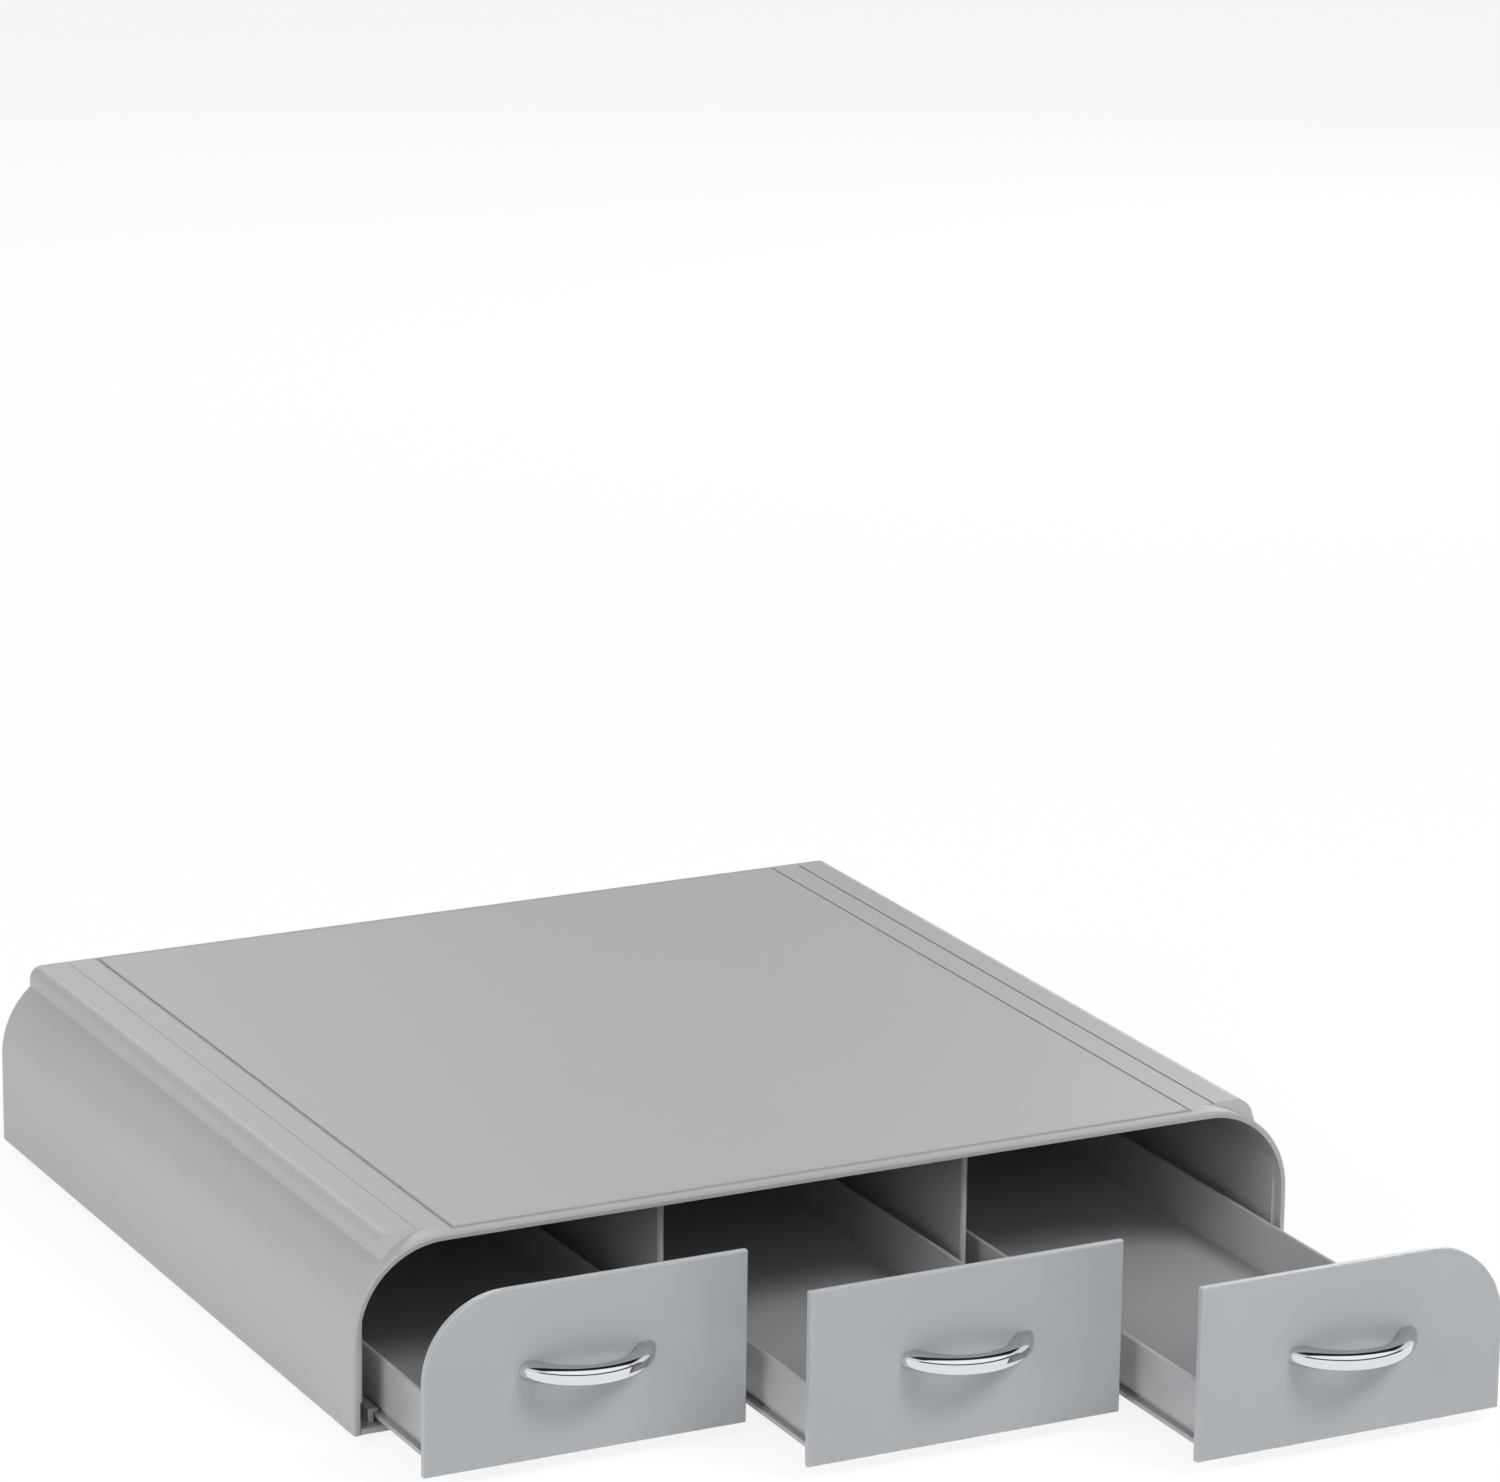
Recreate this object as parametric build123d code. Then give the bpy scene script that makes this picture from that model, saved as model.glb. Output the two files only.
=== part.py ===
from build123d import *
import os
from math import sqrt

# Three-drawer coffee pod organiser: a low moulded housing that an appliance stands on, with
# three trays side by side. Units are millimetres. The drawers are drawn partly open, each by
# its own amount. The origin is on the surface the object stands on, under the middle of its
# whole length as drawn. +X is to the right seen from the front, the drawers open towards -Y.

# ---- housing ----
case_width = 342.0          # over the two side walls
case_depth = 315.0          # front rim to back wall
case_height = 63.0          # underside of the base to the deck
arch_radius = 31.0          # the side walls curve over into the deck
shell_wall = 2.0
rim_round = 0.9             # rounded outer edge of the front rim
shoulder_inset = 11.0       # squared shoulder, measured in from the side wall
shoulder_depth = 20.0       # height of the slab that squares the shoulder
shoulder_radius = 4.5
shoulder_setback = 4.0      # foot of the shoulder's front end, behind the rim
shoulder_slant = 4.5        # the front end leans back by this much to its top
pad_inset = 36.5            # raised deck panel, in from the side walls
pad_front_gap = 5.0         # rim to the raised panel
pad_back_gap = 2.6
pad_height = 0.4
pad_round = 0.35
pad_groove_width = 1.3      # groove that runs round the panel
pad_groove_depth = 0.4
line_inset = 24.9           # fine moulded line beside the panel, in from the side wall
line_width = 0.9
line_depth_right = 0.5
line_depth_left = 0.15      # the left one is faint
side_pad_thickness = 1.9    # thickening inside each side wall that stops an outer front
side_pad_bottom = 10.0      # above the underside of the base
deck_rib_thickness = 1.6
deck_rib_depth = 3.5
deck_rib_count = 5
boss_width = 5.4            # square screw posts
boss_height = 17.0
boss_inset = 5.0            # boss axis, in from the outside of the side wall
boss_rows = 2
boss_end_gap = 30.0         # first and last boss, from the front and the back

# ---- base ----
foot_height = 3.0
foot_radius = 8.0
foot_inset_x = 26.0
foot_inset_y = 24.0
base_thickness = 2.0
base_clearance = 0.2
base_edge_bevel = 0.45      # front edge
runner_height = 1.5
runner_width = 2.0
runner_offset = 35.0        # runner to the middle of its bay
rail_thickness = 1.8
rail_lip_thickness = 1.2
rail_front_gap = 4.0
rail_overlap = 1.1          # how far the rail's lip reaches over the tray's flange
rail_channel_gap = 0.7      # rail to the channel that holds the divider
rail_break = 8.0            # gap left in a side rail for each boss
stop_width = 10.0
stop_length = 2.6
stop_height = 1.2
screw_radius = 1.5
screw_head_radius = 2.8     # flat head, sunk right through the base
screw_length = 13.0         # head to tip
screw_end_gap = 1.0         # hole left beyond the screw's end

# ---- dividers ----
divider_thickness = 2.2
divider_bevel = 0.6         # front edges
divider_setback = 16.0      # behind the front rim
channel_thickness = 1.2
channel_depth = 3.5

# ---- drawers ----
side_gap = 1.4              # front to the side wall
front_gap = 0.4             # between neighbouring fronts
front_thickness = 2.5
front_bottom_gap = 0.3      # above the base
front_top_gap = 0.9         # below the deck's inside
front_bevel = 0.35
tray_wall = 1.6
tray_floor = 1.8
tray_height = 19.9
tray_edge_bevel = 0.5
flange_width = 1.9
flange_thickness = 1.5
groove_height = 1.2         # undercut where the wall meets the flange
groove_depth = 0.7
glide_clearance = 0.3       # between parts that slide
flange_side_clearance = 0.5
back_clearance = 0.6
clip_width = 8.0            # hooks on the front's back that pass through the tray
clip_offset = 32.0
clip_thickness = 1.6
clip_hook = 1.4
clip_drop = 5.0             # hook, below the top edge of the tray's front wall
clip_clearance = 0.25
tab_width = 12.0            # stop tab under the tray's back edge
tab_length = 2.8
tab_drop = 1.1
travel = 255.0              # closed to fully open
open_left = 46.5            # how far each drawer is drawn out
open_centre = 88.8
open_right = 137.0

# ---- handles ----
handle_length = 47.6
handle_height = 32.5        # middle of the handle above the underside of the base
handle_projection = 15.5
handle_thickness = 5.2      # bow at its crown, front to back
handle_depth = 6.0          # bow, top to bottom
handle_foot_length = 7.0    # where it meets the front
handle_front_bevel = 1.7
handle_screw_radius = 1.6
handle_screw_head = 3.3
handle_screw_head_depth = 1.8
handle_screw_inset = 4.9    # screw axis, in from the handle's end
handle_screw_grip = 4.0     # how far a screw goes into the handle's foot
handle_screw_end_gap = 0.5
handle_screw_hole_gap = 0.2

# ---- how the solids are joined and cut ----
weld = 0.9                  # an added feature starts this deep inside what carries it
cut_past = 1.0              # a cut runs this far past the surface it opens

# ---- worked out from the values above ----
half_width = case_width / 2
drawn_out = {"left": open_left, "centre": open_centre, "right": open_right}
middle_y = (max(drawn_out.values()) + handle_projection) / 2
front_y = middle_y - case_depth / 2
back_y = middle_y + case_depth / 2
base_z = foot_height
floor_z = base_z + base_thickness
deck_z = base_z + case_height
ceiling_z = deck_z - shell_wall
inner_half_width = half_width - shell_wall
inner_back_y = back_y - shell_wall
front_half_span = inner_half_width - side_gap
front_width = (2 * front_half_span - 2 * front_gap) / 3
bay_pitch = front_width + front_gap
front_bottom_z = floor_z + front_bottom_gap
front_top_z = ceiling_z - front_top_gap
front_corner = arch_radius - shell_wall - side_gap
front_back_y = front_y + front_thickness
tray_bottom_z = floor_z + runner_height + glide_clearance
tray_top_z = tray_bottom_z + tray_height
tray_back_y = inner_back_y - back_clearance
flange_top_z = tray_bottom_z + flange_thickness
divider_x = bay_pitch / 2
channel_gap = divider_thickness / 2 + base_clearance
rail_inner = divider_x - channel_gap - channel_thickness - rail_channel_gap - rail_thickness
flange_half_width = rail_inner - flange_side_clearance
tray_half_width = flange_half_width - flange_width
rail_top_z = flange_top_z + glide_clearance + rail_lip_thickness
rail_front_y = front_y + rail_front_gap
rail_back_y = inner_back_y - base_clearance
divider_front_y = front_y + divider_setback
boss_x = half_width - boss_inset
boss_y = [front_y + boss_end_gap + k * (case_depth - 2 * boss_end_gap) / (boss_rows - 1)
          for k in range(boss_rows)]
stop_back_y = tray_back_y - tab_length - travel - glide_clearance
handle_z = base_z + handle_height
handle_screw_x = handle_length / 2 - handle_screw_inset
bays = {"left": -bay_pitch, "centre": 0.0, "right": bay_pitch}


def block(x0, x1, y0, y1, z0, z1):
    """A box given by its lowest and highest corners."""
    return Pos((x0 + x1) / 2, (y0 + y1) / 2, (z0 + z1) / 2) * Box(x1 - x0, y1 - y0, z1 - z0)


def arch_body(inset, y0, y1, z0):
    """Straight sides that curve over into a flat top, run from y0 to y1."""
    top = deck_z - inset
    side = half_width - inset
    outline = Pos(0, (z0 + top) / 2) * Rectangle(2 * side, top - z0)
    corners = outline.vertices().sort_by(Axis.Y)[-2:]
    outline = fillet(corners, arch_radius - inset)
    return extrude(Plane(origin=(0, y1, 0), x_dir=(1, 0, 0), z_dir=(0, -1, 0)) * outline, y1 - y0)


def shoulder_body(inset, y1):
    """Slab with rounded top corners that squares the shoulders behind the front rim."""
    side = half_width - shoulder_inset - inset
    top = deck_z - inset
    bottom = deck_z - shoulder_depth
    outline = Pos(0, (bottom + top) / 2) * Rectangle(2 * side, top - bottom)
    outline = fillet(outline.vertices().sort_by(Axis.Y)[-2:], shoulder_radius - inset)
    slab = extrude(Plane(origin=(0, y1, 0), x_dir=(1, 0, 0), z_dir=(0, -1, 0)) * outline, case_depth)
    foot_y = front_y + shoulder_setback + inset
    foot_z = deck_z - arch_radius + sqrt(arch_radius ** 2 - (arch_radius - shoulder_inset) ** 2)
    lean = shoulder_slant / (deck_z - foot_z)
    side_view = Polyline(
        (foot_y - lean * (foot_z - bottom), bottom), (y1, bottom), (y1, top),
        (foot_y + lean * (top - foot_z), top), close=True)
    keep = extrude(Plane.YZ * make_face(side_view), half_width, both=True)
    return slab & keep


def side_pads():
    """Thickened inside of each side wall, above the rails."""
    inner = inner_half_width - side_pad_thickness
    pads = []
    for side in (-1, 1):
        x0, x1 = sorted((side * inner, side * (inner_half_width + weld)))
        pads.append(block(x0, x1, front_back_y + glide_clearance, inner_back_y + weld,
                          base_z + side_pad_bottom, deck_z))
    return pads


def channel_walls():
    """Where the two walls of each divider's channel stand, as pairs of x."""
    walls = []
    for side in (-1, 1):
        for hand in (-1, 1):
            a = side * divider_x + hand * channel_gap
            b = a + hand * channel_thickness
            walls.append((min(a, b), max(a, b)))
    return walls


def deck_ribs():
    """Ribs under the deck: a channel over each divider and cross ribs in each bay."""
    ribs = []
    z0 = ceiling_z - deck_rib_depth
    z1 = ceiling_z + weld
    for x0, x1 in channel_walls():
        ribs.append(block(x0, x1, divider_front_y, inner_back_y + weld, ceiling_z - channel_depth, z1))
    first = divider_front_y + channel_thickness
    step = (inner_back_y - first) / deck_rib_count
    side = half_width - shoulder_inset - shell_wall
    outer = divider_x + channel_gap + channel_thickness / 2
    inner = divider_x - channel_gap - channel_thickness / 2
    for k in range(deck_rib_count):
        y0 = first + k * step
        for x0, x1 in ((-side, -outer), (-inner, inner), (outer, side)):
            ribs.append(block(x0, x1, y0, y0 + deck_rib_thickness, z0, z1))
    return ribs


def housing_shell():
    """One moulded cover: sides, arched shoulders, deck, back wall, ribs and screw posts."""
    outer = arch_body(0, front_y, back_y, base_z)
    rim = [e for e in outer.edges()
           if abs(e.center().Y - front_y) < 0.01 and e.center().Z > floor_z]
    outer = fillet(rim, rim_round)
    outer = outer + shoulder_body(0, back_y)
    inner = arch_body(shell_wall, front_y - cut_past, inner_back_y, base_z - cut_past)
    inner = inner + shoulder_body(shell_wall, inner_back_y)
    shell = outer - inner
    for part in side_pads() + deck_ribs():
        shell = shell + (part & outer)
    for side in (-1, 1):
        post_x0, post_x1 = sorted((side * (boss_x - boss_width / 2), side * (inner_half_width + weld)))
        for y in boss_y:
            post = block(post_x0, post_x1, y - boss_width / 2, y + boss_width / 2,
                         floor_z, floor_z + boss_height)
            hole = Pos(side * boss_x, y, floor_z) * Cylinder(
                screw_radius, screw_length - base_thickness + screw_end_gap,
                align=(Align.CENTER, Align.CENTER, Align.MIN))
            shell = shell + post - hole
    pad_x = half_width - pad_inset
    pad_front_y = front_y + pad_front_gap
    pad_back_y = back_y - pad_back_gap
    groove_z = deck_z - pad_groove_depth
    shell = shell - block(-pad_x - pad_groove_width, pad_x + pad_groove_width,
                          pad_front_y - pad_groove_width, pad_back_y + pad_groove_width,
                          groove_z, deck_z + cut_past)
    pad = block(-pad_x, pad_x, pad_front_y, pad_back_y, groove_z - weld, deck_z + pad_height)
    shell = shell + fillet(pad.faces().sort_by(Axis.Z)[-1].edges(), pad_round)
    for side, depth in ((-1, line_depth_left), (1, line_depth_right)):
        x = side * (half_width - line_inset)
        shell = shell - block(x - line_width / 2, x + line_width / 2, pad_front_y, pad_back_y,
                              deck_z - depth, deck_z + cut_past)
    return shell


def bay_rails(centre):
    """Hook rails on both sides of one bay, cut away where a boss comes down."""
    rails = []
    for side in (-1, 1):
        a = centre + side * rail_inner
        b = centre + side * (rail_inner + rail_thickness)
        lip = centre + side * (flange_half_width - rail_overlap)
        web = block(min(a, b), max(a, b), rail_front_y, rail_back_y, floor_z - weld, rail_top_z)
        hook = block(min(lip, b), max(lip, b), rail_front_y, rail_back_y,
                     flange_top_z + glide_clearance, rail_top_z)
        rail = web + hook
        if abs(b) > boss_x - boss_width / 2 - rail_thickness:
            for y in boss_y:
                rail = rail - block(min(lip, b) - cut_past, max(lip, b) + cut_past, y - rail_break / 2,
                                    y + rail_break / 2, floor_z, rail_top_z + cut_past)
        rails.append(rail)
    return rails


def base_plate():
    """Floor of the housing, with rails, runners, divider channels and drawer stops."""
    edge = inner_half_width - base_clearance
    plate = block(-edge, edge, front_y, rail_back_y, base_z, floor_z)
    plate = chamfer(plate.edges().filter_by(Axis.X).group_by(Axis.Y)[0], base_edge_bevel)
    for centre in bays.values():
        for rail in bay_rails(centre):
            plate = plate + rail
        for side in (-1, 1):
            x = centre + side * runner_offset
            plate = plate + block(x - runner_width / 2, x + runner_width / 2, rail_front_y,
                                  rail_back_y, floor_z - weld, floor_z + runner_height)
        plate = plate + block(centre - stop_width / 2, centre + stop_width / 2,
                              stop_back_y - stop_length, stop_back_y, floor_z - weld,
                              floor_z + stop_height)
    for x0, x1 in channel_walls():
        plate = plate + block(x0, x1, divider_front_y, rail_back_y, floor_z - weld,
                              floor_z + channel_depth)
    for side in (-1, 1):
        for y in boss_y:
            plate = plate - Pos(side * boss_x, y, base_z) * screw_head()
    return plate


def screw_head():
    """Flat head of a base screw, as deep as the base; the base is countersunk to the same cone."""
    return Cone(screw_head_radius, screw_radius, base_thickness,
                align=(Align.CENTER, Align.CENTER, Align.MIN))


def base_screw():
    """Flat-headed screw: cone head flush with the base, shank up into the post."""
    shank = Pos(0, 0, base_thickness) * Cylinder(
        screw_radius, screw_length - base_thickness, align=(Align.CENTER, Align.CENTER, Align.MIN))
    return screw_head() + shank


def divider(side):
    """Upright partition between two bays, held in channels above and below."""
    x = side * divider_x
    wall = block(x - divider_thickness / 2, x + divider_thickness / 2, divider_front_y,
                 rail_back_y, floor_z, ceiling_z - base_clearance)
    return chamfer(wall.edges().filter_by(Axis.Z).group_by(Axis.Y)[0], divider_bevel)


def foot(side_x, side_y):
    """Round anti-slip foot stuck under the base."""
    disc = Cylinder(foot_radius, foot_height, align=(Align.CENTER, Align.CENTER, Align.MIN))
    x = side_x * (half_width - foot_inset_x)
    y = middle_y + side_y * (case_depth / 2 - foot_inset_y)
    return Pos(x, y, 0) * disc


def tray(centre):
    """Low tray: floor, four walls, side flanges with an undercut above them, stop tab."""
    body = block(centre - tray_half_width, centre + tray_half_width, front_back_y, tray_back_y,
                 tray_bottom_z, tray_top_z)
    body = body - block(centre - tray_half_width + tray_wall, centre + tray_half_width - tray_wall,
                        front_back_y + tray_wall, tray_back_y - tray_wall,
                        tray_bottom_z + tray_floor, tray_top_z + cut_past)
    body = chamfer(body.faces().sort_by(Axis.Z)[-1].edges(), tray_edge_bevel)
    for side in (-1, 1):
        wall = centre + side * tray_half_width
        a = wall - side * tray_wall
        b = wall + side * flange_width
        body = body + block(min(a, b), max(a, b), front_back_y, tray_back_y,
                            tray_bottom_z, flange_top_z)
        c = wall - side * groove_depth
        d = wall + side * cut_past
        body = body - block(min(c, d), max(c, d), front_back_y + tray_wall, tray_back_y - tray_wall,
                            flange_top_z, flange_top_z + groove_height)
        x = centre + side * clip_offset
        slot_top = tray_top_z - clip_drop + clip_clearance
        body = body - block(x - clip_width / 2 - clip_clearance, x + clip_width / 2 + clip_clearance,
                            front_back_y - cut_past, front_back_y + tray_wall + cut_past,
                            slot_top - clip_thickness - clip_hook - 2 * clip_clearance, slot_top)
    body = body + block(centre - tab_width / 2, centre + tab_width / 2, tray_back_y - tab_length,
                        tray_back_y, tray_bottom_z - tab_drop, tray_bottom_z + weld)
    return body


def drawer_front(name, centre):
    """Flat front with its outer top corner rounded to follow the arch, and two hooks behind."""
    plate = Pos(centre, (front_bottom_z + front_top_z) / 2) * Rectangle(
        front_width, front_top_z - front_bottom_z)
    if name != "centre":
        top = plate.vertices().sort_by(Axis.Y)[-2:].sort_by(Axis.X)
        plate = fillet([top[0] if name == "left" else top[-1]], front_corner)
    face = Plane(origin=(0, front_back_y, 0), x_dir=(1, 0, 0), z_dir=(0, -1, 0))
    panel = extrude(face * plate, front_thickness)
    panel = chamfer(panel.faces().sort_by(Axis.Y)[0].edges(), front_bevel)
    for side in (-1, 1):
        x = centre + side * clip_offset
        reach = front_back_y + tray_wall + clip_clearance + clip_thickness
        top = tray_top_z - clip_drop
        arm = block(x - clip_width / 2, x + clip_width / 2, front_back_y - weld, reach,
                    top - clip_thickness, top)
        hook = block(x - clip_width / 2, x + clip_width / 2, front_back_y + tray_wall + clip_clearance,
                     reach, top - clip_thickness - clip_hook, top)
        panel = panel + arm + hook
        screw_x = centre + side * handle_screw_x
        panel = panel - Pos(screw_x, front_y - cut_past, handle_z) * Rot(-90, 0, 0) * Cylinder(
            handle_screw_radius + handle_screw_hole_gap, front_thickness + 2 * cut_past,
            align=(Align.CENTER, Align.CENTER, Align.MIN))
    return panel


def handle(centre):
    """Chromed bow handle: an outer and an inner arc that part towards two feet on the front."""
    half = handle_length / 2
    inner_half = half - handle_foot_length
    crown = handle_projection
    outline = Plane(origin=(centre, front_y, handle_z - handle_depth / 2)) * make_face([
        ThreePointArc((-half, 0), (0, -crown), (half, 0)),
        Line((half, 0), (inner_half, 0)),
        ThreePointArc((inner_half, 0), (0, handle_thickness - crown), (-inner_half, 0)),
        Line((-inner_half, 0), (-half, 0))])
    bow = extrude(outline, handle_depth, dir=(0, 0, 1))
    bow = chamfer(bow.edges().group_by(SortBy.LENGTH)[-1], handle_front_bevel)
    for side in (-1, 1):
        place = Pos(centre + side * handle_screw_x, front_y + cut_past, handle_z) * Rot(90, 0, 0)
        bow = bow - place * Cylinder(
            handle_screw_radius, handle_screw_grip + handle_screw_end_gap + cut_past,
            align=(Align.CENTER, Align.CENTER, Align.MIN))
    return bow


def handle_screws(centre):
    """Two pan-headed screws, put in from behind the front."""
    screws = []
    for side in (-1, 1):
        head = Cylinder(handle_screw_head, handle_screw_head_depth,
                        align=(Align.CENTER, Align.CENTER, Align.MIN))
        shank = Cylinder(handle_screw_radius, front_thickness + handle_screw_grip,
                         align=(Align.CENTER, Align.CENTER, Align.MAX))
        place = Pos(centre + side * handle_screw_x, front_back_y, handle_z) * Rot(-90, 0, 0)
        screws.append(place * (head + shank))
    return Compound(children=screws)


os.makedirs("parts", exist_ok=True)


def save(name, shape):
    export_step(shape, "parts/" + name + ".step")


save("housing_shell", housing_shell())
save("base_plate", base_plate())
save("divider_left", divider(-1))
save("divider_right", divider(1))
save("base_screws", Compound(children=[
    Pos(side * boss_x, y, base_z) * base_screw() for side in (-1, 1) for y in boss_y]))
for x_name, side_x in (("left", -1), ("right", 1)):
    for y_name, side_y in (("front", -1), ("back", 1)):
        save("foot_" + y_name + "_" + x_name, foot(side_x, side_y))
for bay, centre_x in bays.items():
    pulled = Pos(0, -drawn_out[bay], 0)
    save("tray_" + bay, pulled * tray(centre_x))
    save("drawer_front_" + bay, pulled * drawer_front(bay, centre_x))
    save("handle_" + bay, pulled * handle(centre_x))
    save("handle_screws_" + bay, pulled * handle_screws(centre_x))
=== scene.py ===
import math
import bmesh
import bpy
from mathutils import Matrix, Vector


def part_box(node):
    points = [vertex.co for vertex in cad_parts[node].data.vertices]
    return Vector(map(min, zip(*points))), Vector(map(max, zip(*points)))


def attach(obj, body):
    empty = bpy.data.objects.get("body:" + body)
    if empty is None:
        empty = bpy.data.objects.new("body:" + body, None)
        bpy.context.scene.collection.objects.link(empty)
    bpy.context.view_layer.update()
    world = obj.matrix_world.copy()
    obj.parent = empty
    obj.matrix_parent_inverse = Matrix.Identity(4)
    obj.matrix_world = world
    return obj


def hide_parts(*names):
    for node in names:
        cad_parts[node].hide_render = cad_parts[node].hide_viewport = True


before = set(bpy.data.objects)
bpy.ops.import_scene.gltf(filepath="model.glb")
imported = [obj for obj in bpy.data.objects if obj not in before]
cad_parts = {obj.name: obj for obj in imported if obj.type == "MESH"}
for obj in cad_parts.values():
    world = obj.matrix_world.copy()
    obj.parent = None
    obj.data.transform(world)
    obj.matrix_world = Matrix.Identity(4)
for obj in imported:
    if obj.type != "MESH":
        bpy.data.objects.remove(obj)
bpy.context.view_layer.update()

# ---- Camera -------------------------------------------------------------------------------
# A long lens some two metres off, left of the object's middle and above it, so that the deck,
# the left side and the three fronts all show. The frame is 1500 by 1482 pixels.
frame_width_px = 1500
focal_px = 6422.3
camera_place = Vector((-0.92005, -1.82191, 0.76156))
camera_yaw = math.radians(26.976)
camera_pitch = math.radians(-15.631)
camera_roll = math.radians(0.697)
ahead = Vector((math.sin(camera_yaw) * math.cos(camera_pitch),
                math.cos(camera_yaw) * math.cos(camera_pitch),
                math.sin(camera_pitch)))
level_right = Vector((math.cos(camera_yaw), -math.sin(camera_yaw), 0.0))
level_up = level_right.cross(ahead)
camera_right = level_right * math.cos(camera_roll) + level_up * math.sin(camera_roll)
camera_up = level_up * math.cos(camera_roll) - level_right * math.sin(camera_roll)
camera = bpy.data.objects.new("camera", bpy.data.cameras.new("camera"))
bpy.context.scene.collection.objects.link(camera)
camera.data.sensor_width = 36.0  # only the angle of view counts
camera.data.lens = camera.data.sensor_width * focal_px / frame_width_px
turn = Matrix((camera_right, camera_up, -ahead)).transposed()
camera.matrix_world = Matrix.Translation(camera_place) @ turn.to_4x4()
bpy.context.scene.camera = camera
bpy.context.scene.view_settings.view_transform = "Standard"

# ---- Floor and light ----------------------------------------------------------------------
# A plain white sweep that the object stands on. It is a wide flat sheet; a part of its
# whiteness is given directly to the camera, so that it stays white and keeps a soft shadow,
# and a little more to shiny surfaces, which see it as the brightly lit sweep that it is.
floor_white = (0.86, 0.86, 0.86, 1.0)
glow_to_camera = 1.08
more_glow_to_shine = 0.22
glow_share = 0.8
bpy.ops.object.select_all(action="DESELECT")
bpy.ops.mesh.primitive_plane_add(size=12.0, location=(0.0, 0.0, 0.0))
floor = bpy.context.active_object
floor.name = "floor"
floor_paint = bpy.data.materials.new("floor_paint")
floor_paint.use_nodes = True
nodes = floor_paint.node_tree.nodes
links = floor_paint.node_tree.links
nodes.clear()
floor_out = nodes.new("ShaderNodeOutputMaterial")
floor_mix = nodes.new("ShaderNodeMixShader")
floor_matt = nodes.new("ShaderNodeBsdfDiffuse")
floor_matt.inputs["Color"].default_value = floor_white
floor_glow = nodes.new("ShaderNodeEmission")
floor_glow.inputs["Color"].default_value = (1.0, 1.0, 1.0, 1.0)
floor_path = nodes.new("ShaderNodeLightPath")
floor_level = nodes.new("ShaderNodeMath")
floor_level.operation = "MULTIPLY_ADD"
floor_level.inputs[1].default_value = more_glow_to_shine
floor_level.inputs[2].default_value = glow_to_camera
links.new(floor_path.outputs["Is Glossy Ray"], floor_level.inputs[0])
links.new(floor_level.outputs[0], floor_glow.inputs["Strength"])
floor_seen = nodes.new("ShaderNodeMath")
floor_seen.operation = "MAXIMUM"
links.new(floor_path.outputs["Is Camera Ray"], floor_seen.inputs[0])
links.new(floor_path.outputs["Is Glossy Ray"], floor_seen.inputs[1])
floor_share = nodes.new("ShaderNodeMath")
floor_share.operation = "MULTIPLY"
floor_share.inputs[1].default_value = glow_share
links.new(floor_seen.outputs[0], floor_share.inputs[0])
links.new(floor_share.outputs[0], floor_mix.inputs["Fac"])
links.new(floor_matt.outputs[0], floor_mix.inputs[1])
links.new(floor_glow.outputs[0], floor_mix.inputs[2])
links.new(floor_mix.outputs[0], floor_out.inputs["Surface"])
floor.data.materials.append(floor_paint)

# The room is white to the camera. Metal and the plastic's sheen see it as a studio: a pale wall
# behind the object under a dark ceiling, and in front a dark horizon under a bright ceiling.
world = bpy.data.worlds.new("studio")
bpy.context.scene.world = world
world.use_nodes = True
nodes = world.node_tree.nodes
links = world.node_tree.links
nodes.clear()


def room_half(name, stops):
    """Brightness of one half of the room, by height from straight down (0) to straight up (1)."""
    ramp = nodes.new("ShaderNodeValToRGB")
    ramp.name = name
    first, last = stops[0], stops[-1]
    for element, (height, level) in zip(ramp.color_ramp.elements, (first, last)):
        element.position = height
        element.color = (level, level, level * 1.01, 1.0)
    for height, level in stops[1:-1]:
        element = ramp.color_ramp.elements.new(height)
        element.color = (level, level, level * 1.01, 1.0)
    links.new(room_height.outputs["Result"], ramp.inputs["Fac"])
    return ramp


room_direction = nodes.new("ShaderNodeTexCoord")
room_axes = nodes.new("ShaderNodeSeparateXYZ")
links.new(room_direction.outputs["Generated"], room_axes.inputs[0])
room_height = nodes.new("ShaderNodeMapRange")
room_height.inputs["From Min"].default_value = -1.0
links.new(room_axes.outputs["Z"], room_height.inputs["Value"])
room_behind = nodes.new("ShaderNodeMapRange")
room_behind.inputs["From Min"].default_value = -0.34
room_behind.inputs["From Max"].default_value = -0.24
links.new(room_axes.outputs["Y"], room_behind.inputs["Value"])
back_half = room_half("back_half", [
    (0.0, 0.64), (0.50, 0.68), (0.74, 0.76), (0.80, 0.02), (1.0, 0.02)])
front_half = room_half("front_half", [
    (0.0, 0.64), (0.50, 0.05), (0.62, 0.04), (0.67, 0.95), (1.0, 1.0)])
room_mix = nodes.new("ShaderNodeMixRGB")
links.new(room_behind.outputs["Result"], room_mix.inputs["Fac"])
links.new(front_half.outputs["Color"], room_mix.inputs["Color1"])
links.new(back_half.outputs["Color"], room_mix.inputs["Color2"])
room_glossy = nodes.new("ShaderNodeBackground")
room_glossy.inputs["Strength"].default_value = 1.375
links.new(room_mix.outputs["Color"], room_glossy.inputs["Color"])
room_fill = nodes.new("ShaderNodeBackground")
room_fill.inputs["Color"].default_value = (0.97, 0.985, 1.0, 1.0)
room_fill.inputs["Strength"].default_value = 0.25
room_white = nodes.new("ShaderNodeBackground")
room_white.inputs["Color"].default_value = (1.0, 1.0, 1.0, 1.0)
room_white.inputs["Strength"].default_value = 1.0
ray = nodes.new("ShaderNodeLightPath")
glossy_or_fill = nodes.new("ShaderNodeMixShader")
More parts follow.
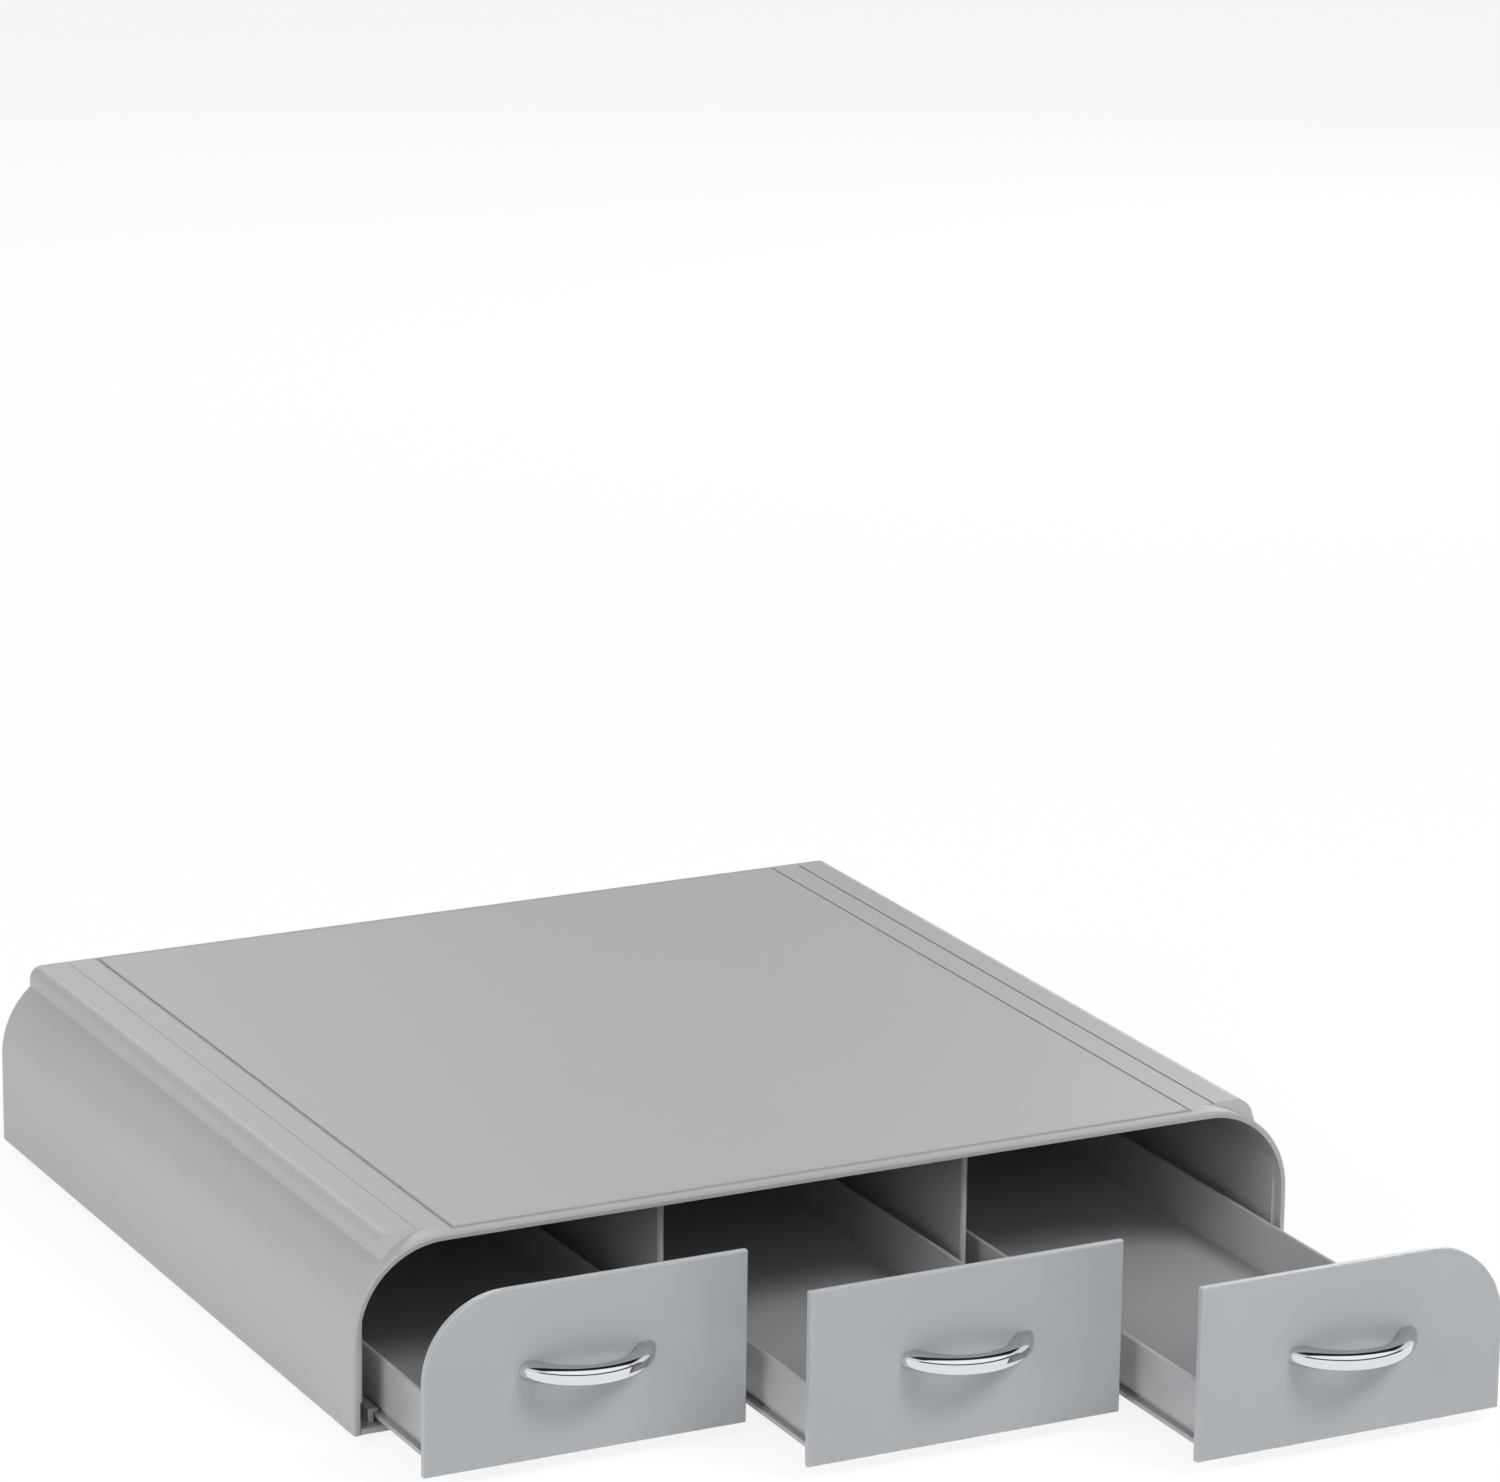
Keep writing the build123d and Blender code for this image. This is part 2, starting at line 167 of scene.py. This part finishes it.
links.new(ray.outputs["Is Glossy Ray"], glossy_or_fill.inputs["Fac"])
links.new(room_fill.outputs[0], glossy_or_fill.inputs[1])
links.new(room_glossy.outputs[0], glossy_or_fill.inputs[2])
white_or_rest = nodes.new("ShaderNodeMixShader")
links.new(ray.outputs["Is Camera Ray"], white_or_rest.inputs["Fac"])
links.new(glossy_or_fill.outputs[0], white_or_rest.inputs[1])
links.new(room_white.outputs[0], white_or_rest.inputs[2])
world_out = nodes.new("ShaderNodeOutputWorld")
links.new(white_or_rest.outputs[0], world_out.inputs["Surface"])


def softbox(name, place, aim, width, height, watts, tint, mirrored):
    """One large soft studio lamp, pointed at a place; mirrored: seen in shiny surfaces."""
    lamp = bpy.data.lights.new(name, "AREA")
    lamp.shape = "RECTANGLE"
    lamp.size = width
    lamp.size_y = height
    lamp.energy = watts
    lamp.color = tint
    holder = bpy.data.objects.new(name, lamp)
    bpy.context.scene.collection.objects.link(holder)
    holder.location = place
    holder.visible_glossy = mirrored
    holder.rotation_euler = (Vector(aim) - Vector(place)).to_track_quat("-Z", "Y").to_euler()


# The key lamp stands in front on the right; the others lift the deck, the left side and the
# fronts. Only the two behind the object show in shiny surfaces.
object_middle = (0.0, 0.0, 0.0)
plain_light = (1.0, 1.0, 1.0)
warm_light = (1.0, 0.995, 0.98)
cool_light = (0.98, 0.99, 1.0)
softbox("key_softbox", (0.7, -1.3, 1.5), object_middle, 0.8, 0.6, 19.0, plain_light, False)
softbox("back_softbox", (0.2, 1.9, 1.1), object_middle, 0.9, 0.6, 5.0, warm_light, True)
softbox("right_softbox", (1.45, 1.5, 0.75), (0.12, 0.0, 0.06), 0.5, 0.5, 4.8, plain_light, True)
softbox("left_softbox", (-1.9, -0.5, 1.0), object_middle, 1.2, 1.4, 22.0, warm_light, False)
softbox("front_softbox", (-0.7, -2.5, 1.2), (0.0, -0.1, 0.0), 1.2, 0.9, 8.5, cool_light, False)

# ---- Moulded housing ----------------------------------------------------------------------
# The cover, base and dividers are injection moulded grey ABS. The mould has a fine spark
# texture all over, which gives the satin sheen; the pieces are screwed together from below.
case_grey = (0.415, 0.42, 0.432)


def grained_plastic(name, colour, grain_size, grain_height, roughness, coat):
    """Grey moulded plastic: fine even grain in metres, slight mottling and uneven sheen."""
    paint = bpy.data.materials.new(name)
    paint.use_nodes = True
    nodes = paint.node_tree.nodes
    links = paint.node_tree.links
    shader = nodes["Principled BSDF"]
    shader.inputs["IOR"].default_value = 1.5
    shader.inputs["Coat Weight"].default_value = coat
    shader.inputs["Coat Roughness"].default_value = 0.32
    place = nodes.new("ShaderNodeTexCoord")
    cloud = nodes.new("ShaderNodeTexNoise")
    cloud.inputs["Scale"].default_value = 9.0
    cloud.inputs["Detail"].default_value = 3.0
    links.new(place.outputs["Object"], cloud.inputs["Vector"])
    tone = nodes.new("ShaderNodeValToRGB")
    tone.color_ramp.elements[0].position = 0.3
    tone.color_ramp.elements[0].color = tuple(c * 0.975 for c in colour) + (1.0,)
    tone.color_ramp.elements[1].position = 0.7
    tone.color_ramp.elements[1].color = tuple(c * 1.02 for c in colour) + (1.0,)
    links.new(cloud.outputs["Fac"], tone.inputs["Fac"])
    links.new(tone.outputs["Color"], shader.inputs["Base Color"])
    sheen = nodes.new("ShaderNodeMapRange")
    sheen.inputs["To Min"].default_value = roughness - 0.05
    sheen.inputs["To Max"].default_value = roughness + 0.05
    links.new(cloud.outputs["Fac"], sheen.inputs["Value"])
    links.new(sheen.outputs["Result"], shader.inputs["Roughness"])
    grain = nodes.new("ShaderNodeTexNoise")
    grain.inputs["Scale"].default_value = 1.0 / grain_size
    grain.inputs["Detail"].default_value = 2.0
    grain.inputs["Roughness"].default_value = 0.6
    links.new(place.outputs["Object"], grain.inputs["Vector"])
    bump = nodes.new("ShaderNodeBump")
    bump.inputs["Strength"].default_value = 0.35
    bump.inputs["Distance"].default_value = grain_height
    links.new(grain.outputs["Fac"], bump.inputs["Height"])
    links.new(bump.outputs["Normal"], shader.inputs["Normal"])
    return paint


def mould_in(plastic, pieces):
    """Gives these pieces of the frame this one plastic."""
    for piece in pieces:
        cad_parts[piece].data.materials.clear()
        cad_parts[piece].data.materials.append(plastic)


case_plastic = grained_plastic("case_plastic", case_grey, grain_size=0.0009,
                               grain_height=0.00012, roughness=0.45, coat=0.08)
mould_in(case_plastic, ("housing_shell", "base_plate", "divider_left", "divider_right"))

# ---- Trays --------------------------------------------------------------------------------
# Low open trays, injection moulded in the same grey plastic with a slightly smoother face.
# Nothing fixes them: their side flanges slide under the rails that stand on the base.
tray_grey = (0.405, 0.41, 0.425)
tray_plastic = grained_plastic("tray_plastic", tray_grey, grain_size=0.0012,
                               grain_height=0.00008, roughness=0.38, coat=0.1)
mould_in(tray_plastic, ("tray_left", "tray_centre", "tray_right"))

# ---- Drawer fronts ------------------------------------------------------------------------
# Flat injection moulded fronts, nearly smooth, with a cooler tone and a soft satin shine. Each
# hooks on to the front wall of its tray; the outer two have one large rounded top corner.
front_grey = (0.41, 0.43, 0.45)
front_plastic = grained_plastic("front_plastic", front_grey, grain_size=0.0025,
                                grain_height=0.00004, roughness=0.34, coat=0.12)
mould_in(front_plastic, ("drawer_front_left", "drawer_front_centre", "drawer_front_right"))

# ---- Bow handles --------------------------------------------------------------------------
# Die-cast zinc bows, polished and chrome plated, domed along the front and flat on top and
# below. Each stands on two feet that are screwed to the front from behind.
handle_dome = 0.0024        # rounding of the outer face's edges
handle_back_round = 0.0013  # rounding of the inner face's edges
bow_thickness = 0.0052      # at the crown, front to back
foot_length = 0.007         # where the bow meets the front
chrome_grey = (0.61, 0.625, 0.64, 1.0)
chrome = bpy.data.materials.new("chrome_plate")
chrome.use_nodes = True
nodes = chrome.node_tree.nodes
links = chrome.node_tree.links
shader = nodes["Principled BSDF"]
shader.inputs["Base Color"].default_value = chrome_grey
shader.inputs["Metallic"].default_value = 1.0
chrome_place = nodes.new("ShaderNodeTexCoord")
chrome_haze = nodes.new("ShaderNodeTexNoise")
chrome_haze.inputs["Scale"].default_value = 260.0
chrome_haze.inputs["Detail"].default_value = 3.0
chrome_sheen = nodes.new("ShaderNodeMapRange")
chrome_sheen.inputs["To Min"].default_value = 0.02
chrome_sheen.inputs["To Max"].default_value = 0.045
chrome_ripple = nodes.new("ShaderNodeBump")
chrome_ripple.inputs["Strength"].default_value = 0.05
chrome_ripple.inputs["Distance"].default_value = 0.0001
links.new(chrome_place.outputs["Object"], chrome_haze.inputs["Vector"])
links.new(chrome_haze.outputs["Fac"], chrome_sheen.inputs["Value"])
links.new(chrome_sheen.outputs["Result"], shader.inputs["Roughness"])
links.new(chrome_haze.outputs["Fac"], chrome_ripple.inputs["Height"])
links.new(chrome_ripple.outputs["Normal"], shader.inputs["Normal"])


def chosen_edges(mesh, test):
    """Selects just the edges of the mesh in edit mode for which the test is true."""
    bpy.ops.mesh.select_mode(type="EDGE")
    bpy.ops.mesh.select_all(action="DESELECT")
    shape = bmesh.from_edit_mesh(mesh)
    for edge in [e for e in shape.edges if test(e)]:
        edge.select = True
    bmesh.update_edit_mesh(mesh)


def arc_radius(half_chord, rise):
    """Radius of the arc that rises this far over a chord."""
    return (half_chord ** 2 + rise ** 2) / (2.0 * rise)


low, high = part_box("handle_centre")
half_length = (high.x - low.x) / 2
bow_reach = high.y - low.y
outer_radius = arc_radius(half_length, bow_reach)
inner_radius = arc_radius(half_length - foot_length, bow_reach - bow_thickness)
outer_middle_y = low.y + outer_radius
inner_middle_y = low.y + bow_thickness + inner_radius
bpy.ops.object.select_all(action="DESELECT")
bpy.ops.mesh.primitive_circle_add(vertices=188, radius=outer_radius, fill_type="NOTHING",
                                  location=(0.0, outer_middle_y, low.z))
bow = bpy.context.active_object
bow.name = "handle_bow"
bpy.ops.object.transform_apply(location=True, rotation=True, scale=True)
bpy.ops.object.mode_set(mode="EDIT")
bpy.ops.mesh.select_all(action="DESELECT")
bpy.ops.mesh.primitive_circle_add(vertices=196, radius=inner_radius, fill_type="NOTHING",
                                  location=(0.0, inner_middle_y, low.z))
bpy.ops.mesh.select_all(action="SELECT")
bpy.ops.mesh.bisect(plane_co=(0.0, high.y, 0.0), plane_no=(0.0, 1.0, 0.0), clear_outer=True)
bpy.ops.mesh.select_all(action="SELECT")
bpy.ops.mesh.bridge_edge_loops()
bpy.ops.mesh.select_all(action="SELECT")
bpy.ops.mesh.extrude_region_move(TRANSFORM_OT_translate={"value": (0.0, 0.0, high.z - low.z)})
bpy.ops.mesh.select_all(action="SELECT")
bpy.ops.mesh.remove_doubles(threshold=0.000002)
bpy.ops.mesh.normals_make_consistent(inside=False)


def on_rim(edge, radius, centre_y):
    """True for an edge of the bow's top or bottom that lies on the arc of that radius."""
    level = abs(edge.verts[0].co.z - edge.verts[1].co.z) < 1e-6
    return level and all(
        abs(math.hypot(v.co.x, v.co.y - centre_y) - radius) < radius * 0.004 for v in edge.verts)


chosen_edges(bow.data, lambda e: on_rim(e, outer_radius, outer_middle_y))
bpy.ops.mesh.bevel(offset=handle_dome, segments=8, profile=0.5, affect="EDGES")
chosen_edges(bow.data, lambda e: on_rim(e, inner_radius, inner_middle_y))
bpy.ops.mesh.bevel(offset=handle_back_round, segments=4, profile=0.5, affect="EDGES")
bpy.ops.object.mode_set(mode="OBJECT")
bpy.ops.object.shade_smooth_by_angle(angle=math.radians(32.0))
bow.data.materials.append(chrome)
for bay in ("left", "centre", "right"):
    copy = bow.copy()
    copy.data = bow.data.copy()
    copy.name = "chrome_handle_" + bay
    bpy.context.scene.collection.objects.link(copy)
    bay_low, bay_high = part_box("handle_" + bay)
    copy.data.transform(Matrix.Translation((bay_low + bay_high - low - high) / 2))
    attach(copy, bay + "_drawer")
    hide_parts("handle_" + bay)
bpy.data.objects.remove(bow)

# ---- Screws -------------------------------------------------------------------------------
# Zinc-plated steel self-tapping screws with a cross recess: pan heads that hold the handles,
# put in from behind the fronts, and flat heads up through the base into the housing's posts.
zinc = bpy.data.materials.new("zinc_plate")
zinc.use_nodes = True
nodes = zinc.node_tree.nodes
links = zinc.node_tree.links
shader = nodes["Principled BSDF"]
shader.inputs["Base Color"].default_value = (0.56, 0.56, 0.57, 1.0)
shader.inputs["Metallic"].default_value = 1.0
zinc_place = nodes.new("ShaderNodeTexCoord")
zinc_flakes = nodes.new("ShaderNodeTexNoise")
zinc_flakes.inputs["Scale"].default_value = 900.0
zinc_sheen = nodes.new("ShaderNodeMapRange")
zinc_sheen.inputs["To Min"].default_value = 0.22
zinc_sheen.inputs["To Max"].default_value = 0.42
links.new(zinc_place.outputs["Object"], zinc_flakes.inputs["Vector"])
links.new(zinc_flakes.outputs["Fac"], zinc_sheen.inputs["Value"])
links.new(zinc_sheen.outputs["Result"], shader.inputs["Roughness"])


def cross_cutter(reach, width, depth):
    """Two crossed bars that cut a screw's recess at z 0."""
    bars = []
    for turn_deg in (0.0, 90.0):
        bpy.ops.object.select_all(action="DESELECT")
        bpy.ops.mesh.primitive_cube_add(size=1.0)
        bar = bpy.context.active_object
        bar.scale = (reach * 2, width, depth * 2)
        bar.rotation_euler = (0.0, 0.0, math.radians(turn_deg))
        bpy.ops.object.transform_apply(location=True, rotation=True, scale=True)
        bars.append(bar)
    for bar in bars:
        bar.select_set(True)
    bpy.context.view_layer.objects.active = bars[0]
    bpy.ops.object.join()
    return bars[0]


def recess(screw, reach, width, depth):
    """Cuts the cross recess into a screw whose head's face is at z 0, pointing down."""
    cutter = cross_cutter(reach, width, depth)
    cut = screw.modifiers.new("recess", "BOOLEAN")
    cut.operation = "DIFFERENCE"
    cut.solver = "EXACT"
    cut.use_self = True
    cut.object = cutter
    bpy.ops.object.select_all(action="DESELECT")
    screw.select_set(True)
    bpy.context.view_layer.objects.active = screw
    bpy.ops.object.modifier_apply(modifier=cut.name)
    bpy.data.objects.remove(cutter)


def turned_screw(rings):
    """A round screw about Z: rings are (radius, z), from the face of the head to the tip."""
    bpy.ops.object.select_all(action="DESELECT")
    bpy.ops.mesh.primitive_circle_add(vertices=40, radius=rings[0][0], fill_type="NGON",
                                      location=(0.0, 0.0, rings[0][1]))
    screw = bpy.context.active_object
    bpy.ops.object.transform_apply(location=True, rotation=True, scale=True)
    bpy.ops.object.mode_set(mode="EDIT")
    bpy.ops.mesh.select_all(action="SELECT")
    for (radius, z), (next_radius, next_z) in zip(rings, rings[1:]):
        bpy.ops.mesh.extrude_region_move(TRANSFORM_OT_translate={"value": (0.0, 0.0, next_z - z)})
        share = next_radius / radius
        bpy.ops.transform.resize(value=(share, share, 1.0), center_override=(0.0, 0.0, next_z))
    bpy.ops.mesh.select_all(action="SELECT")
    bpy.ops.mesh.normals_make_consistent(inside=False)
    bpy.ops.object.mode_set(mode="OBJECT")
    screw.data.materials.append(zinc)
    return screw


def place_screws(model, name, places, turned, body, node):
    """Copies of one screw at each place, joined into the one piece that replaces a node."""
    copies = []
    for place in places:
        copy = model.copy()
        copy.data = model.data.copy()
        bpy.context.scene.collection.objects.link(copy)
        copy.data.transform(Matrix.Translation(place) @ turned)
        copies.append(copy)
    bpy.ops.object.select_all(action="DESELECT")
    for copy in copies:
        copy.select_set(True)
    bpy.context.view_layer.objects.active = copies[0]
    bpy.ops.object.join()
    copies[0].name = name
    bpy.ops.object.shade_smooth_by_angle(angle=math.radians(30.0))
    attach(copies[0], body)
    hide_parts(node)


pan_radius = 0.0033
pan_height = 0.0018
shank_radius = 0.0016
screw_point = 0.0006  # length of the tapered tip
low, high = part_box("handle_screws_centre")
shank_end = high.y - low.y - pan_height
pan_screw = turned_screw([
    (0.0019, 0.0), (0.0026, 0.0001), (0.0031, 0.0005), (pan_radius, 0.0010),
    (pan_radius, pan_height), (shank_radius, pan_height),
    (shank_radius, pan_height + shank_end - screw_point),
    (shank_radius * 0.6, pan_height + shank_end)])
recess(pan_screw, reach=0.0016, width=0.0006, depth=0.0011)
facing_back = Matrix.Rotation(math.radians(90.0), 4, "X")
for bay in ("left", "centre", "right"):
    low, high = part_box("handle_screws_" + bay)
    middle_z = (low.z + high.z) / 2
    places = [Vector((low.x + pan_radius, high.y, middle_z)),
              Vector((high.x - pan_radius, high.y, middle_z))]
    place_screws(pan_screw, "handle_screw_pair_" + bay, places, facing_back, bay + "_drawer",
                 "handle_screws_" + bay)
bpy.data.objects.remove(pan_screw)

flat_radius = 0.0028
flat_height = 0.0014
flat_shank = 0.0015
flat_point = 0.0015
low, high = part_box("base_screws")
flat_screw = turned_screw([
    (flat_radius, 0.0), (flat_shank, flat_height),
    (flat_shank, high.z - low.z - flat_point), (flat_shank * 0.4, high.z - low.z)])
recess(flat_screw, reach=0.0015, width=0.0006, depth=0.0009)
places = [Vector((x, y, low.z)) for x in (low.x + flat_radius, high.x - flat_radius)
          for y in (low.y + flat_radius, high.y - flat_radius)]
place_screws(flat_screw, "base_screw_set", places, Matrix.Identity(4), "housing", "base_screws")
bpy.data.objects.remove(flat_screw)

# ---- Feet ---------------------------------------------------------------------------------
# Black rubber discs, self-adhesive, with a softened rim and one shallow ring moulded in the
# face that grips the worktop.
foot_rim_round = 0.0009
ring_inset = 0.0018  # rim to the ring
ring_slope = 0.0004
ring_width = 0.0009
ring_depth = 0.0005
rubber = bpy.data.materials.new("foot_rubber")
rubber.use_nodes = True
nodes = rubber.node_tree.nodes
links = rubber.node_tree.links
shader = nodes["Principled BSDF"]
shader.inputs["Roughness"].default_value = 0.72
rubber_place = nodes.new("ShaderNodeTexCoord")
rubber_grit = nodes.new("ShaderNodeTexNoise")
rubber_grit.inputs["Scale"].default_value = 1400.0
rubber_tone = nodes.new("ShaderNodeValToRGB")
rubber_tone.color_ramp.elements[0].color = (0.022, 0.022, 0.023, 1.0)
rubber_tone.color_ramp.elements[1].color = (0.042, 0.042, 0.043, 1.0)
rubber_bump = nodes.new("ShaderNodeBump")
rubber_bump.inputs["Strength"].default_value = 0.4
rubber_bump.inputs["Distance"].default_value = 0.0001
links.new(rubber_place.outputs["Object"], rubber_grit.inputs["Vector"])
links.new(rubber_grit.outputs["Fac"], rubber_tone.inputs["Fac"])
links.new(rubber_tone.outputs["Color"], shader.inputs["Base Color"])
links.new(rubber_grit.outputs["Fac"], rubber_bump.inputs["Height"])
links.new(rubber_bump.outputs["Normal"], shader.inputs["Normal"])
for corner in ("front_left", "front_right", "back_left", "back_right"):
    low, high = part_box("foot_" + corner)
    middle = (low + high) / 2
    radius = (high.x - low.x) / 2
    bpy.ops.object.select_all(action="DESELECT")
    bpy.ops.mesh.primitive_cylinder_add(vertices=64, radius=radius, depth=high.z - low.z,
                                        location=middle)
    pad = bpy.context.active_object
    pad.name = "rubber_foot_" + corner
    bpy.ops.object.transform_apply(location=True, rotation=True, scale=True)
    bpy.ops.object.mode_set(mode="EDIT")
    chosen_edges(pad.data, lambda e: all(abs(v.co.z - low.z) < 1e-6 for v in e.verts))
    bpy.ops.mesh.bevel(offset=foot_rim_round, segments=5, profile=0.5, affect="EDGES")
    bpy.ops.mesh.select_mode(type="FACE")
    bpy.ops.mesh.select_all(action="DESELECT")
    shape = bmesh.from_edit_mesh(pad.data)
    for face in [f for f in shape.faces if f.normal.z < -0.99 and f.calc_area() > radius ** 2]:
        face.select = True
    bmesh.update_edit_mesh(pad.data)
    bpy.ops.mesh.inset(thickness=ring_inset)
    bpy.ops.mesh.inset(thickness=ring_slope, depth=-ring_depth)
    bpy.ops.mesh.inset(thickness=ring_width)
    bpy.ops.mesh.inset(thickness=ring_slope, depth=ring_depth)
    bpy.ops.object.mode_set(mode="OBJECT")
    bpy.ops.object.shade_smooth_by_angle(angle=math.radians(32.0))
    pad.data.materials.append(rubber)
    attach(pad, "housing")
    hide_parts("foot_" + corner)
